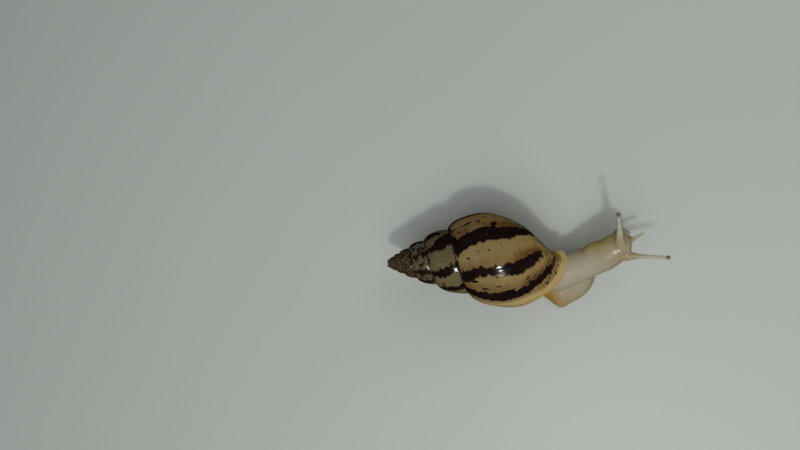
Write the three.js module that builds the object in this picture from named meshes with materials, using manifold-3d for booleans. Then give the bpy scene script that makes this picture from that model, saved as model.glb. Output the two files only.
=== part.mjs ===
// A giant African land snail at life size, crawling with its head raised and turned to its left.
// Millimetres. +X points the way the snail crawls, +Y to its left, +Z up.
// The origin is the middle of the sole, on the floor.
import * as THREE from "three";
import { mergeVertices } from "three/addons/utils/BufferGeometryUtils.js";
import Module from "manifold-3d";

const wasm = await Module();
wasm.setup();

const DEG = Math.PI / 180;
const FULL_TURN = 2 * Math.PI;
const GAP = 0.3; // clearance that touching pieces keep
const WELD = 1e-4; // points closer than this are one
const FAR = 200; // beyond every part of the snail

// ---- Shell: one generating curve, grown along a right-handed spiral ----
const SHELL = {
  apex: [-68.0, 3.8, 25.9], // where the axis of coiling starts
  heading: 4.9, // degrees, axis to the left of +X
  pitch: -4.2, // degrees, axis above the floor's plane
  size: 88.9, // scale of the generating curve at the lip
  turns: 7,
  growth: 1.578, // axial growth in one turn
  widening: 0.8305, // radial growth in one turn is growth ** widening
  lipAngle: 79.9, // degrees, from straight up, over the snail's right side, to the lip
  // The generating curve, as fractions of size: its centre, half sizes, lean and egg shape.
  centreRadius: 0.1504,
  centreAlong: 0.7685,
  halfAcross: 0.1348,
  halfAlong: 0.3115,
  lean: 24.1, // degrees
  egg: 0.236,
  // Its shoulder: how pointed it is, and how far it is tucked towards the axis, gently and at its very end.
  point: 0.9,
  tuck: { amount: 0.05, power: 2.5 },
  endTuck: { amount: 0.04, power: 8 },
  // Where the curve swells or draws in, [degrees round it, share of its reach].
  swells: [[-60, 0.046], [-35, -0.034], [-10, 0.016], [20, 0.001], [55, -0.022]],
  swellSpread: 35, // degrees to either side
  // How far the lip and the growth lines lead or trail at the base and the shoulder, in degrees.
  lagLinear: -15.97,
  lagSquare: -3.27,
};

const WALL = 1.2; // thickness of the shell round the aperture
const AXIS_CLEARANCE = 0.02; // least distance from the axis of coiling
const HALF_WHORL = 0.5; // longest stretch of the tube that can't meet itself, in turns

// Steps and sides of each half whorl that ends after the given turn.
const COIL_DETAIL = [
  { after: -1.4, steps: 8, sides: 20 },
  { after: -2.9, steps: 6, sides: 14 },
  { after: -9, steps: 4, sides: 10 },
];
const LAST_WHORL = { steps: 10, sides: 24 };
const APERTURE = { from: -0.22, to: 0.012, steps: 6, sides: 20 }; // turns
const MANTLE = { from: -0.2, to: -0.008, clearance: 0.6 }; // turns, mm

// The pillar inside the whorls: where it starts, is widest and ends along the axis, as fractions of size.
const PILLAR = { from: 0.01, to: 0.5, end: 0.6, radius: 0.132, sides: 12 };

// ---- Foot: sections from its left edge to its right edge, from the tip of the tail to the front ----
const FOOT = [
  { left: [-45.9, 7.9], right: [-46.1, 6.1], height: 1.4 },
  { left: [-35.6, 11.8], right: [-36.4, 2.6], height: 3.4 },
  { left: [-23, 14.4], right: [-25, -1.4], height: 5.2 },
  { left: [-7.4, 14.1], right: [-12.6, -6.1], height: 8 },
  { left: [6.5, 9.5], right: [-0.5, -10.5], height: 10 },
  { left: [13, 8.3], right: [10.5, -12.4], height: 10.5 },
  { left: [17.8, 8.2], right: [20.3, -19], height: 10.2 },
  { left: [21.5, 8.6], right: [25.6, -16.9], height: 10 },
  { left: [26.3, 9.5], right: [33, -12], height: 9.6 },
  { left: [29.8, 10], right: [36.9, -6.2], height: 9 },
  { left: [32.5, 10.2], right: [38, -1], height: 7.5 },
  { left: [34.4, 9.4], right: [37.4, 3.6], height: 5 },
];
const FOOT_STEPS = 33; // three between stations
const FOOT_TOP_SIDES = 12;
const FOOT_DOME = 1.3; // above 1 the back slopes in from the rim, below 1 it bulges
const SOLE = { rim: 0.9, undercut: 0.6, leastShare: 0.5, points: 5 };

// ---- Neck and head: sections square to their centre line, from inside the trunk to the brow ----
const NECK = [
  { at: [-2, -3, 9], half: [5, 5], roll: 0 },
  { at: [8, -1.5, 10.5], half: [7.6, 7.4], roll: 0 },
  { at: [18, -0.3, 12.6], half: [8.7, 8.4], roll: 0 },
  { at: [26.2, 2.5, 14.6], half: [8.1, 8], roll: 4 },
  { at: [34.8, 6, 17.4], half: [7.4, 7.1], roll: 10 },
  { at: [37.9, 8.1, 18.7], half: [7.8, 6.9], roll: 14 },
  { at: [41.8, 9.8, 20.2], half: [7.5, 6.7], roll: 18 },
  { at: [47.6, 14, 21.9], half: [6.8, 6.3], roll: 26 },
  { at: [52.6, 16.6, 21.4], half: [5.6, 5.2], roll: 32 },
];
const NECK_STEPS = 22;
const NECK_CROWDING = 1.4; // above 1 the sections crowd towards the brow
// The share of the centre line that rounds off, and the last section's size.
const BROW = { share: 0.13, least: 0.08 };
const FLESH_SIDES = 18;

// The head's own frame stands at its middle, turned like the head. Its features are placed in it.
const HEAD = { centre: [47.9, 14.3, 21.7], heading: 27, pitch: -5, roll: 33 };
const CHEEK = { forward: 3.1, aside: 2.2, up: -4.0, radius: 3.5 };
const MOUTH_LOBE = { forward: 6, aside: 1.5, up: -3.6, half: [1.6, 1.4, 1.8] };
const ROUND_DETAIL = [9, 6];

// ---- Eye stalks and feelers: tapered horns, from a root in the head to the middle of a round bulb ----
const HORNS = {
  eye_stalk_left: {
    root: { forward: -0.2, aside: 3.5, up: 4 },
    tip: [46.1, 28.5, 38.5],
    baseRadius: 2.8, tipRadius: 0.8, bulbRadius: 1.12, taper: 2.2, freeFrom: 0.28, bow: 0.6,
  },
  eye_stalk_right: {
    root: { forward: -0.2, aside: -3.9, up: 4 },
    tip: [68.2, 9.2, 30],
    baseRadius: 2.8, tipRadius: 0.74, bulbRadius: 1.05, taper: 3.4, freeFrom: 0.2, bow: 0.6,
  },
  feeler_left: {
    root: { forward: 4.2, aside: 3, up: -2.2 },
    tip: [52.2, 20.6, 12.6],
    baseRadius: 1.3, tipRadius: 0.6, bulbRadius: 0.72, taper: 1.4, freeFrom: 0.4, bow: 0.2,
  },
  feeler_right: {
    root: { forward: 4.4, aside: -1.8, up: -1.6 },
    tip: [59.1, 19.8, 17],
    baseRadius: 1.3, tipRadius: 0.6, bulbRadius: 0.72, taper: 1.4, freeFrom: 0.45, bow: 0.2,
  },
};
const HORN_SIDES = 8;
const HORN_STEPS = 7;
const BULB_START = -35; // degrees below the bulb's equator where the horn widens into it
const BULB_STEPS = 5;
const EYE = { radius: 0.8, lift: 0.6 }; // a bead set high in the bulb

// ---- Trunk: the body between the aperture and the foot ----
const TRUNK = {
  centre: [5, -1.5], half: [17, 8.5], floor: 3, waist: 0.06,
  inset: 2, turn: -0.02, steps: 7, sides: 20,
};

// ---- Where the flesh is parted into nodes ----
const TAIL_CUT_X = -18;
const NECK_CUT_X = 13;
const FOOT_CUT_Z = 9.6;
const HEAD_CUT = { at: [44.4, 12.2, 20.9], heading: 32 };

// ------------------------------------------------------------------ solids

function vector(list) {
  return new THREE.Vector3(...list);
}

// A BufferGeometry, welded by position, as a manifold-3d solid.
function toSolid(geometry) {
  geometry.deleteAttribute("normal");
  geometry.deleteAttribute("uv");
  const merged = mergeVertices(geometry, WELD);
  const solid = new wasm.Manifold(
    new wasm.Mesh({
      numProp: 3,
      vertProperties: new Float32Array(merged.attributes.position.array),
      triVerts: new Uint32Array(merged.index.array),
    }),
  );
  if (solid.volume() < 0) throw new Error("a solid is inside out");
  return solid;
}

// A solid through a row of closed rings with equal numbers of points, with a fan of triangles over each end.
function loft(rings) {
  const count = rings[0].length;
  const positions = rings.flat().flatMap((p) => [p.x, p.y, p.z]);
  const index = [];
  for (let k = 0; k + 1 < rings.length; k++) {
    for (let i = 0; i < count; i++) {
      const a = k * count + i;
      const b = k * count + ((i + 1) % count);
      index.push(a, b, b + count, a, b + count, a + count);
    }
  }
  for (const [k, flip] of [[0, true], [rings.length - 1, false]]) {
    const middle = new THREE.Vector3();
    rings[k].forEach((p) => middle.addScaledVector(p, 1 / count));
    const hub = positions.length / 3;
    positions.push(middle.x, middle.y, middle.z);
    for (let i = 0; i < count; i++) {
      const a = k * count + i;
      const b = k * count + ((i + 1) % count);
      index.push(...(flip ? [hub, b, a] : [hub, a, b]));
    }
  }
  const geometry = new THREE.BufferGeometry();
  geometry.setAttribute("position", new THREE.Float32BufferAttribute(positions, 3));
  geometry.setIndex(index);
  return toSolid(geometry);
}

function ellipsoid(centre, half, quaternion) {
  const geometry = new THREE.SphereGeometry(1, ...ROUND_DETAIL);
  geometry.applyMatrix4(new THREE.Matrix4().compose(centre, quaternion, half));
  return toSolid(geometry);
}

function box(low, high) {
  const size = new THREE.Vector3().subVectors(high, low);
  const geometry = new THREE.BoxGeometry(size.x, size.y, size.z);
  geometry.translate(low.x + size.x / 2, low.y + size.y / 2, low.z + size.z / 2);
  return toSolid(geometry);
}

function union(solids) {
  return solids.reduce((sum, next) => sum.add(next));
}

// The largest body of a solid, with any pocket sealed inside it filled.
function filled(solid) {
  return solid.decompose().reduce((best, next) => (next.volume() > best.volume() ? next : best));
}

// A ring round a centre, square to `forward`, turned about it by `roll` radians.
function roundRing(centre, forward, halfAcross, halfUp, roll, sides) {
  const left = new THREE.Vector3(-forward.y, forward.x, 0).normalize();
  const up = new THREE.Vector3().crossVectors(forward, left).normalize();
  left.applyAxisAngle(forward, roll);
  up.applyAxisAngle(forward, roll);
  return Array.from({ length: sides }, (_, i) => {
    const angle = (FULL_TURN * i) / sides;
    const point = centre.clone().addScaledVector(left, halfAcross * Math.cos(angle));
    return point.addScaledVector(up, halfUp * Math.sin(angle));
  });
}

// ------------------------------------------------------------------ shell

const shellAxis = new THREE.Vector3(1, 0, 0)
  .applyAxisAngle(new THREE.Vector3(0, 1, 0), -SHELL.pitch * DEG)
  .applyAxisAngle(new THREE.Vector3(0, 0, 1), SHELL.heading * DEG);
const shellRight = new THREE.Vector3().crossVectors(shellAxis, new THREE.Vector3(0, 0, 1)).normalize();
const shellUp = new THREE.Vector3().crossVectors(shellRight, shellAxis);

// How far the generating curve reaches at phi degrees, as a share of the plain egg shape.
function curveReach(phi) {
  return SHELL.swells.reduce((reach, [at, amount]) => {
    const away = Math.abs(THREE.MathUtils.euclideanModulo(phi - at + 180, 360) - 180) / SHELL.swellSpread;
    return reach + (away < 1 ? amount * Math.cos((away * Math.PI) / 2) ** 2 : 0);
  }, 1);
}

// A point of the shell. `turn` counts from the lip, 0, back to the apex. phi goes round the generating curve
// in degrees, from the shoulder, -90, over the outer wall, 0, to the base, 90, and back along the
// columella, 180.
function shellPoint(turn, phi, inset) {
  const s = Math.sin(phi * DEG);
  const c = Math.cos(phi * DEG);
  const t = turn + (SHELL.lagLinear * s + SHELL.lagSquare * s * s) / 360;
  const axialScale = SHELL.size * SHELL.growth ** t;
  const radialScale = SHELL.size * SHELL.growth ** (SHELL.widening * t);
  const reach = curveReach(phi);
  const shoulder = Math.max(0, -s);
  const pointed = Math.sign(c) * Math.abs(c) ** (1 + SHELL.point * shoulder);
  const across = (SHELL.halfAcross * reach - inset / radialScale) * pointed * (1 + SHELL.egg * s);
  const along = (SHELL.halfAlong * reach - inset / axialScale) * s;
  const lean = SHELL.lean * DEG;
  const tucks = [SHELL.tuck, SHELL.endTuck].map(({ amount, power }) => amount * shoulder ** power);
  const tuck = tucks[0] + tucks[1];
  const radius = SHELL.centreRadius + across * Math.cos(lean) - along * Math.sin(lean) - tuck;
  const station = SHELL.centreAlong + across * Math.sin(lean) + along * Math.cos(lean);
  const angle = SHELL.lipAngle * DEG + t * FULL_TURN;
  const distance = Math.max(radius * radialScale, AXIS_CLEARANCE + Math.max(inset, 0));
  return vector(SHELL.apex)
    .addScaledVector(shellAxis, station * axialScale)
    .addScaledVector(shellUp, distance * Math.cos(angle))
    .addScaledVector(shellRight, distance * Math.sin(angle));
}

function shellRing(turn, sides, inset) {
  return Array.from({ length: sides }, (_, i) => shellPoint(turn, (-360 * i) / sides, inset));
}

// A stretch of the coiled tube that is short enough not to meet itself.
function shellStretch({ from, to, steps, sides }, inset) {
  const ring = (_, k) => shellRing(from + ((to - from) * k) / steps, sides, inset);
  return loft(Array.from({ length: steps + 1 }, ring));
}

// Half whorls joined from the apex to half a turn behind the lip, coarser towards the apex.
function olderWhorls(inset) {
  const stretches = [];
  for (let to = -HALF_WHORL; to > -SHELL.turns; to -= HALF_WHORL) {
    const detail = COIL_DETAIL.find(({ after }) => to > after);
    stretches.push(shellStretch({ ...detail, from: to - HALF_WHORL, to }, inset));
  }
  return union(stretches);
}

// The solid pillar round the axis, where the whorls' inner walls meet.
function pillar(grown) {
  const profile = [
    new THREE.Vector2(0, PILLAR.from * SHELL.size - grown),
    new THREE.Vector2(PILLAR.radius * SHELL.size + grown, PILLAR.to * SHELL.size),
    new THREE.Vector2(0, PILLAR.end * SHELL.size + grown),
  ];
  const geometry = new THREE.LatheGeometry(profile, PILLAR.sides);
  geometry.rotateX(Math.PI / 2);
  geometry.applyMatrix4(new THREE.Matrix4().makeBasis(shellUp, shellRight, shellAxis));
  geometry.translate(...SHELL.apex);
  return toSolid(geometry);
}

const lastHalf = { from: -HALF_WHORL, to: 0, ...LAST_WHORL };
const oldWhorls = filled(olderWhorls(0).add(pillar(0)));
const aperture = shellStretch(APERTURE, WALL).subtract(oldWhorls);
const shell = filled(filled(oldWhorls.add(shellStretch(lastHalf, 0))).subtract(aperture));

// What the flesh keeps clear of: the older whorls, and outside the aperture the whole shell, each a gap
// larger.
const oldClearance = filled(olderWhorls(-GAP).add(pillar(GAP)));
const shellClearance = filled(oldClearance.add(shellStretch({ ...lastHalf, to: 0.003 }, -GAP)));

// The mantle fills the aperture and ends just inside the lip.
const mantle = shellStretch({ ...APERTURE, ...MANTLE }, WALL + MANTLE.clearance).subtract(oldClearance);

// ------------------------------------------------------------------ foot, neck and trunk

function spline(stations, pick) {
  return new THREE.CatmullRomCurve3(stations.map((s) => vector(pick(s))));
}

// The foot: a flat sole, a low rounded rim and a domed back.
function footSolid() {
  const edges = [spline(FOOT, (s) => [...s.left, 0]), spline(FOOT, (s) => [...s.right, 0])];
  const heights = spline(FOOT, (s) => [s.height, 0, 0]);
  const rings = [];
  for (let k = 0; k <= FOOT_STEPS; k++) {
    const t = k / FOOT_STEPS;
    const [leftEdge, rightEdge] = edges.map((edge) => edge.getPoint(t));
    const centre = leftEdge.clone().lerp(rightEdge, 0.5);
    const halfWidth = leftEdge.distanceTo(rightEdge) / 2;
    const height = heights.getPoint(t).x;
    const left = leftEdge.clone().sub(rightEdge).normalize();
    const back = Array.from({ length: FOOT_TOP_SIDES + 1 }, (_, i) => {
      const angle = (Math.PI * i) / FOOT_TOP_SIDES;
      const rise = SOLE.rim + (height - SOLE.rim) * Math.sin(angle) ** FOOT_DOME;
      return centre.clone().addScaledVector(left, halfWidth * Math.cos(angle)).setZ(rise);
    });
    const soleHalf = Math.max(halfWidth - SOLE.undercut, halfWidth * SOLE.leastShare);
    const sole = Array.from({ length: SOLE.points }, (_, i) =>
      centre.clone().addScaledVector(left, soleHalf * ((2 * i) / (SOLE.points - 1) - 1)),
    );
    rings.push([...back, ...sole]);
  }
  return loft(rings);
}

function neckSolid() {
  const path = spline(NECK, (s) => s.at);
  const sizes = spline(NECK, (s) => [...s.half, s.roll]);
  const rings = [];
  for (let k = 0; k <= NECK_STEPS; k++) {
    const t = 1 - (1 - k / NECK_STEPS) ** NECK_CROWDING;
    const { x: across, y: up, z: roll } = sizes.getPoint(t);
    const fromFront = Math.min(1, (1 - t) / BROW.share);
    const dome = Math.max(Math.sqrt(1 - (1 - fromFront) ** 2), BROW.least);
    const half = [across * dome, up * dome];
    rings.push(roundRing(path.getPoint(t), path.getTangent(t), ...half, roll * DEG, FLESH_SIDES));
  }
  return loft(rings);
}

// The wall of body that runs down from the lip to an oval in the foot.
function trunkSolid() {
  const middle = new THREE.Vector3(...TRUNK.centre, TRUNK.floor);
  const rings = [];
  for (let k = 0; k <= TRUNK.steps; k++) {
    const down = k / TRUNK.steps;
    const narrow = 1 - TRUNK.waist * Math.sin(Math.PI * down);
    rings.push(
      shellRing(TRUNK.turn, TRUNK.sides, TRUNK.inset).map((top, i) => {
        const angle = (-i / TRUNK.sides) * FULL_TURN - Math.PI / 2;
        const oval = new THREE.Vector3(TRUNK.half[0] * Math.cos(angle), TRUNK.half[1] * Math.sin(angle), 0);
        const offset = top.lerp(oval.add(middle), down).sub(middle);
        return offset.multiply(new THREE.Vector3(narrow, narrow, 1)).add(middle);
      }),
    );
  }
  return loft(rings);
}

// ------------------------------------------------------------------ head

const headTurn = new THREE.Quaternion()
  .setFromAxisAngle(new THREE.Vector3(0, 0, 1), HEAD.heading * DEG)
  .multiply(new THREE.Quaternion().setFromAxisAngle(new THREE.Vector3(0, 1, 0), -HEAD.pitch * DEG))
  .multiply(new THREE.Quaternion().setFromAxisAngle(new THREE.Vector3(1, 0, 0), HEAD.roll * DEG));

// A place in the head's frame. `side` is -1 to mirror it to the right.
function headPoint({ forward, aside, up }, side = 1) {
  return vector([forward, side * aside, up]).applyQuaternion(headTurn).add(vector(HEAD.centre));
}

// A horn between two shares of its length, grown all over. At share 1 it ends in its bulb.
function hornSolid(horn, from, to, grown) {
  const { path, tipRadius, baseRadius, taper, bulbRadius } = horn;
  const bulbAngle = BULB_START * DEG;
  const last = to === 1 ? 1 + (bulbRadius * Math.sin(bulbAngle)) / path.getLength() : to;
  const rings = [];
  for (let k = 0; k <= HORN_STEPS; k++) {
    const t = from + ((last - from) * k) / HORN_STEPS;
    const radius = tipRadius + (baseRadius - tipRadius) * (1 - t) ** taper + grown;
    rings.push(roundRing(path.getPoint(t), path.getTangent(t), radius, radius, 0, HORN_SIDES));
  }
  const bulbSteps = to === 1 ? BULB_STEPS : 0;
  for (let k = 1; k <= bulbSteps; k++) {
    const angle = bulbAngle + ((Math.PI / 2 - bulbAngle) * k) / (BULB_STEPS + 1);
    const forward = path.getTangent(1);
    const centre = path.getPoint(1).addScaledVector(forward, (bulbRadius + grown) * Math.sin(angle));
    const radius = (bulbRadius + grown) * Math.cos(angle);
    rings.push(roundRing(centre, forward, radius, radius, 0, HORN_SIDES));
  }
  return loft(rings);
}

// A horn's bowed centre line, its root in the head, the free horn beyond it and the room the free horn needs.
function makeHorn(shape) {
  const start = headPoint(shape.root);
  const end = vector(shape.tip);
  const middle = start.clone().lerp(end, 0.5).add(new THREE.Vector3(0, 0, 2 * shape.bow));
  const horn = { ...shape, path: new THREE.QuadraticBezierCurve3(start, middle, end) };
  const rootEnd = shape.freeFrom - GAP / horn.path.getLength();
  horn.rooted = hornSolid(horn, 0, rootEnd, 0);
  horn.free = hornSolid(horn, shape.freeFrom, 1, 0);
  horn.room = hornSolid(horn, rootEnd, 1, GAP);
  return horn;
}

const horns = Object.fromEntries(Object.entries(HORNS).map(([name, shape]) => [name, makeHorn(shape)]));

function eyeSolid(stalk, grown) {
  const centre = stalk.path.getPoint(1).add(new THREE.Vector3(0, 0, EYE.lift));
  return ellipsoid(centre, new THREE.Vector3().setScalar(EYE.radius + grown), new THREE.Quaternion());
}

function mouthLobe(side, grown) {
  return ellipsoid(headPoint(MOUTH_LOBE, side), vector(MOUTH_LOBE.half).addScalar(grown), headTurn);
}

function cheek(side) {
  return ellipsoid(headPoint(CHEEK, side), new THREE.Vector3().setScalar(CHEEK.radius), headTurn);
}

const roots = Object.values(horns).map((horn) => horn.rooted);
const rooms = Object.values(horns).map((horn) => horn.room);
const neckAndHead = union([neckSolid(), cheek(1), cheek(-1), ...roots]).subtract(
  union([mouthLobe(1, GAP), mouthLobe(-1, GAP), ...rooms]),
);

// ------------------------------------------------------------------ parting

function portion(solid, low, high) {
  return solid.intersect(box(vector(low), vector(high)));
}

// Everything in front of a slanted plane across the neck.
function aheadOf(cut, offset) {
  const geometry = new THREE.BoxGeometry(FAR, FAR, FAR);
  geometry.translate(FAR / 2 + offset, 0, 0);
  geometry.rotateZ(cut.heading * DEG);
  geometry.translate(...cut.at);
  return toSolid(geometry);
}

const half = GAP / 2;
const flesh = union([footSolid(), trunkSolid(), neckAndHead]).subtract(shellClearance);
const body = flesh.subtract(aheadOf(HEAD_CUT, -half));
const fleshNodes = {
  tail: portion(body, [-FAR, -FAR, -1], [TAIL_CUT_X - half, FAR, FOOT_CUT_Z - half]),
  foot_middle: portion(body, [TAIL_CUT_X + half, -FAR, -1], [NECK_CUT_X - half, FAR, FOOT_CUT_Z - half]),
  foot_front: portion(body, [NECK_CUT_X + half, -FAR, -1], [FAR, FAR, FOOT_CUT_Z - half]),
  trunk: portion(body, [-FAR, -FAR, FOOT_CUT_Z + half], [NECK_CUT_X - half, FAR, FAR]),
  neck: portion(body, [NECK_CUT_X + half, -FAR, FOOT_CUT_Z + half], [FAR, FAR, FAR]),
  head: flesh.intersect(aheadOf(HEAD_CUT, half)),
};

// ------------------------------------------------------------------ scene graph

const MATERIALS = {
  shell: new THREE.MeshStandardMaterial({ color: 0x9a7a45, roughness: 0.3, metalness: 0 }),
  flesh: new THREE.MeshStandardMaterial({ color: 0xd9cdb2, roughness: 0.35, metalness: 0 }),
  mantle: new THREE.MeshStandardMaterial({ color: 0xd9b55f, roughness: 0.35, metalness: 0 }),
  eye: new THREE.MeshStandardMaterial({ color: 0x565b46, roughness: 0.15, metalness: 0 }),
};

const snail = new THREE.Group();

function addNode(name, solid, material) {
  const data = solid.getMesh();
  const geometry = new THREE.BufferGeometry();
  geometry.setAttribute("position", new THREE.Float32BufferAttribute(data.vertProperties, 3));
  geometry.setIndex(new THREE.BufferAttribute(data.triVerts, 1));
  geometry.computeVertexNormals();
  const mesh = new THREE.Mesh(geometry, material);
  mesh.name = name;
  snail.add(mesh);
}

addNode("shell", shell, MATERIALS.shell);
addNode("mantle_collar", mantle, MATERIALS.mantle);
Object.entries(fleshNodes).forEach(([name, solid]) => addNode(name, solid, MATERIALS.flesh));
for (const [name, side] of [["left", 1], ["right", -1]]) {
  const stalk = horns["eye_stalk_" + name];
  const feeler = horns["feeler_" + name];
  addNode("eye_stalk_" + name, stalk.free.subtract(eyeSolid(stalk, GAP)), MATERIALS.flesh);
  addNode("eye_" + name, eyeSolid(stalk, 0), MATERIALS.eye);
  addNode("feeler_" + name, feeler.free, MATERIALS.flesh);
  addNode("mouth_lobe_" + name, mouthLobe(side, 0).subtract(union(rooms)), MATERIALS.flesh);
}

export default snail;
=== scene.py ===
"""Looks of a giant African land snail at life size, crawling with its head raised and turned to its left.

Lengths are in millimetres in the row frame and become metres when a mesh is made.
The origin is the middle of the sole, +X the way the snail crawls, +Y its left, +Z up.
"""

import math

import bpy
import numpy as np
from mathutils import Euler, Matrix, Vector


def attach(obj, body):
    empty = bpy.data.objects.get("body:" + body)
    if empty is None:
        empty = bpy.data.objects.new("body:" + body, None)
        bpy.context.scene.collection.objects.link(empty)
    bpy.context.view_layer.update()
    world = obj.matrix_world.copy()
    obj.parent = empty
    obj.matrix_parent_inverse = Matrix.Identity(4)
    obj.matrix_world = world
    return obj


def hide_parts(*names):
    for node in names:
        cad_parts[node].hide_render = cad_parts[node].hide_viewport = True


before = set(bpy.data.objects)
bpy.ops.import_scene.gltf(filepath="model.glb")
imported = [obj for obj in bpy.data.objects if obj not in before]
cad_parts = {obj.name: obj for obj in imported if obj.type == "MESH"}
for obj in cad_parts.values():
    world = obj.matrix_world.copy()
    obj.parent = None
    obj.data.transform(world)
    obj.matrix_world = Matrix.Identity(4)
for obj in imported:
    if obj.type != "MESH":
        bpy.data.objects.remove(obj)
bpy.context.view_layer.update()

METRES = 0.001
FULL_TURN = 2 * math.pi

# ---- sizes of the shell

APEX = np.array([-68.0, 3.8, 25.9])
AXIS_HEADING, AXIS_PITCH = 4.9, -4.2  # degrees
SHELL_SIZE = 88.9
GROWTH, WIDENING = 1.578, 0.8305  # growth along the axis in a turn, and the power of it across the axis
LIP_ANGLE = 79.9  # degrees
CENTRE_RADIUS, CENTRE_ALONG = 0.1504, 0.7685
HALF_ACROSS, HALF_ALONG = 0.1348, 0.3115
LEAN = math.radians(24.1)
EGG = 0.236
SHOULDER_POINT = 0.9
SHOULDER_TUCKS = [(0.05, 2.5), (0.04, 8)]  # amount, power
SWELLS = [(-60, 0.046), (-35, -0.034), (-10, 0.016), (20, 0.001), (55, -0.022)]  # phi, amount
SWELL_SPREAD = 35
LAG_LINEAR, LAG_SQUARE = -15.97, -3.27  # degrees the growth lines lean, by the sine of phi and its square
LIP_WALL, DEEP_WALL = 0.7, 1.2  # thickness of the wall at the lip and inside the aperture
LEAST_RADIUS = 0.02  # no point of the shell comes nearer to its axis

# Rows of the shell's grid: from this turn on, so many rows a turn.
SHELL_ROWS = [(-7, 70), (-4, 130), (-2, 300), (-1, 560), (-0.25, 1000)]
SEEN_PHI = (-97, 112, 150)  # degrees, degrees, points: the part of the curve that shows
HIDDEN_POINTS = 26
INNER_DEPTH = 0.45  # turns that the hollow of the aperture goes back
INNER_ROWS = 90

# Growth lines: how many a turn, and their height at the lip.
GROWTH_LINES = [(23, 0.05), (41, 0.045), (67, 0.035), (97, 0.022)]
# Rests in growth: turn, depth and width in turns.
GROWTH_RESTS = [(-0.014, 0.10, 0.004), (-0.036, 0.12, 0.004), (-0.063, 0.08, 0.005), (-0.41, 0.09, 0.006)]
SPIRAL_LINES = {"spacing": 3.4, "height": 0.02}  # degrees, mm
BEADS = {"turns": 64, "degrees": 7.5, "height": 0.11, "sunk": 0.6}  # sculpture of the spire
BEAD_TURNS = (0.7, 2.2)  # turns back from the lip over which the beads come in
CREST = {"phi": -74, "half": 7, "height": 0.12, "folds": 46}  # the puckered edge under the suture
LINE_WANDER, REST_WANDER = 0.35, 0.001  # how far growth lines and rests stray
PATCH_LEAST, PATCH_SWING = 0.6, 0.6  # how strong a growth line is from place to place
SMOOTH_BASE = (0, 40)  # degrees over which the spiral lines end
SEEN_MARGIN = (6, 8)  # degrees over which the relief fades at the shoulder and the base
LIP_BEND, LIP_BULGE = 7, 0.0022  # points round the lip's edge, and how far it swells, in turns
DEEP_WALL_FROM = 0.12  # turns back at which the wall has its full thickness
GRAIN_SCALE = (140, 0.42, 5)  # for a turn, a degree and the inside

# Flames: dark bands along the growth lines, from the lip back. Stations of phi in degrees, and of the
# middle and the half width in thousandths of a turn.
FLAMES = [
    # the last whorl
    [(-72, -123, 21), (-30, -100, 22), (0, -93, 17), (50, -109, 14), (67, -133, 2)],
    [(-72, -172, 27), (-55, -193, 21), (-40, -203, 16), (-20, -197, 15), (0, -180, 21), (20, -182, 23),
     (35, -194, 16), (42, -200, 2)],
    [(-66, -303, 38), (-50, -316, 28), (-30, -323, 29), (0, -308, 26), (45, -319, 21), (72, -320, 1)],
    [(-80, -462, 18), (-60, -468, 20), (-20, -455, 12), (2, -448, 1)],
    [(-70, -545, 20), (-30, -550, 24), (35, -545, 15), (60, -550, 2)],
    [(-66, -650, 14), (-20, -660, 18), (20, -645, 17), (50, -650, 2)],
    [(-70, -760, 22), (-30, -765, 22), (10, -755, 14), (40, -760, 2)],
    [(-68, -875, 16), (-25, -880, 20), (15, -870, 16), (55, -875, 2)],
    # the second
    [(-66, -1072, 8), (-45, -1080, 21), (10, -1090, 20)],
    [(-78, -1173, 14), (-58, -1181, 18), (-40, -1183, 26), (-20, -1197, 20), (12, -1200, 12)],
    [(-72, -1309, 11), (-50, -1320, 20), (-30, -1335, 41), (-12, -1354, 42), (14, -1350, 40)],
    [(-70, -1415, 12), (-50, -1420, 28), (-35, -1415, 18), (-28, -1410, 3)],
    [(-70, -1570, 18), (-10, -1580, 28), (12, -1580, 20)],
    [(-70, -1720, 20), (-40, -1710, 24), (12, -1720, 20)],
    [(-70, -1880, 16), (-10, -1880, 30), (12, -1880, 20)],
    # the third
    [(-62, -2065, 14), (-40, -2070, 22), (-10, -2070, 18)],
    [(-79, -2165, 8), (-50, -2170, 16), (-45, -2167, 26), (0, -2160, 22)],
    [(-85, -2345, 6), (-60, -2310, 11), (-45, -2276, 26), (-34, -2300, 10), (-20, -2292, 30), (0, -2290, 20)],
    [(-59, -2430, 22), (-48, -2430, 30), (-34, -2420, 4), (-20, -2430, 28)],
    [(-66, -2560, 20), (-40, -2550, 28), (-10, -2560, 20)],
    [(-66, -2750, 20), (-40, -2760, 26), (-10, -2750, 20)],
    [(-66, -2920, 20), (-40, -2910, 24), (-10, -2920, 20)],
]
FLAME_FADE = {"degrees": 7, "turns": 0.02}  # how a flame narrows beyond its last station
OLDER_SOFTNESS = 0.45  # how fast the brown beside a flame's older edge fades
DASH_FADE = 0.35  # mm a degree beyond a dash's end
FAR_FROM_MARKS = -4.0  # mm: the depth where no flame or dash is near
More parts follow.
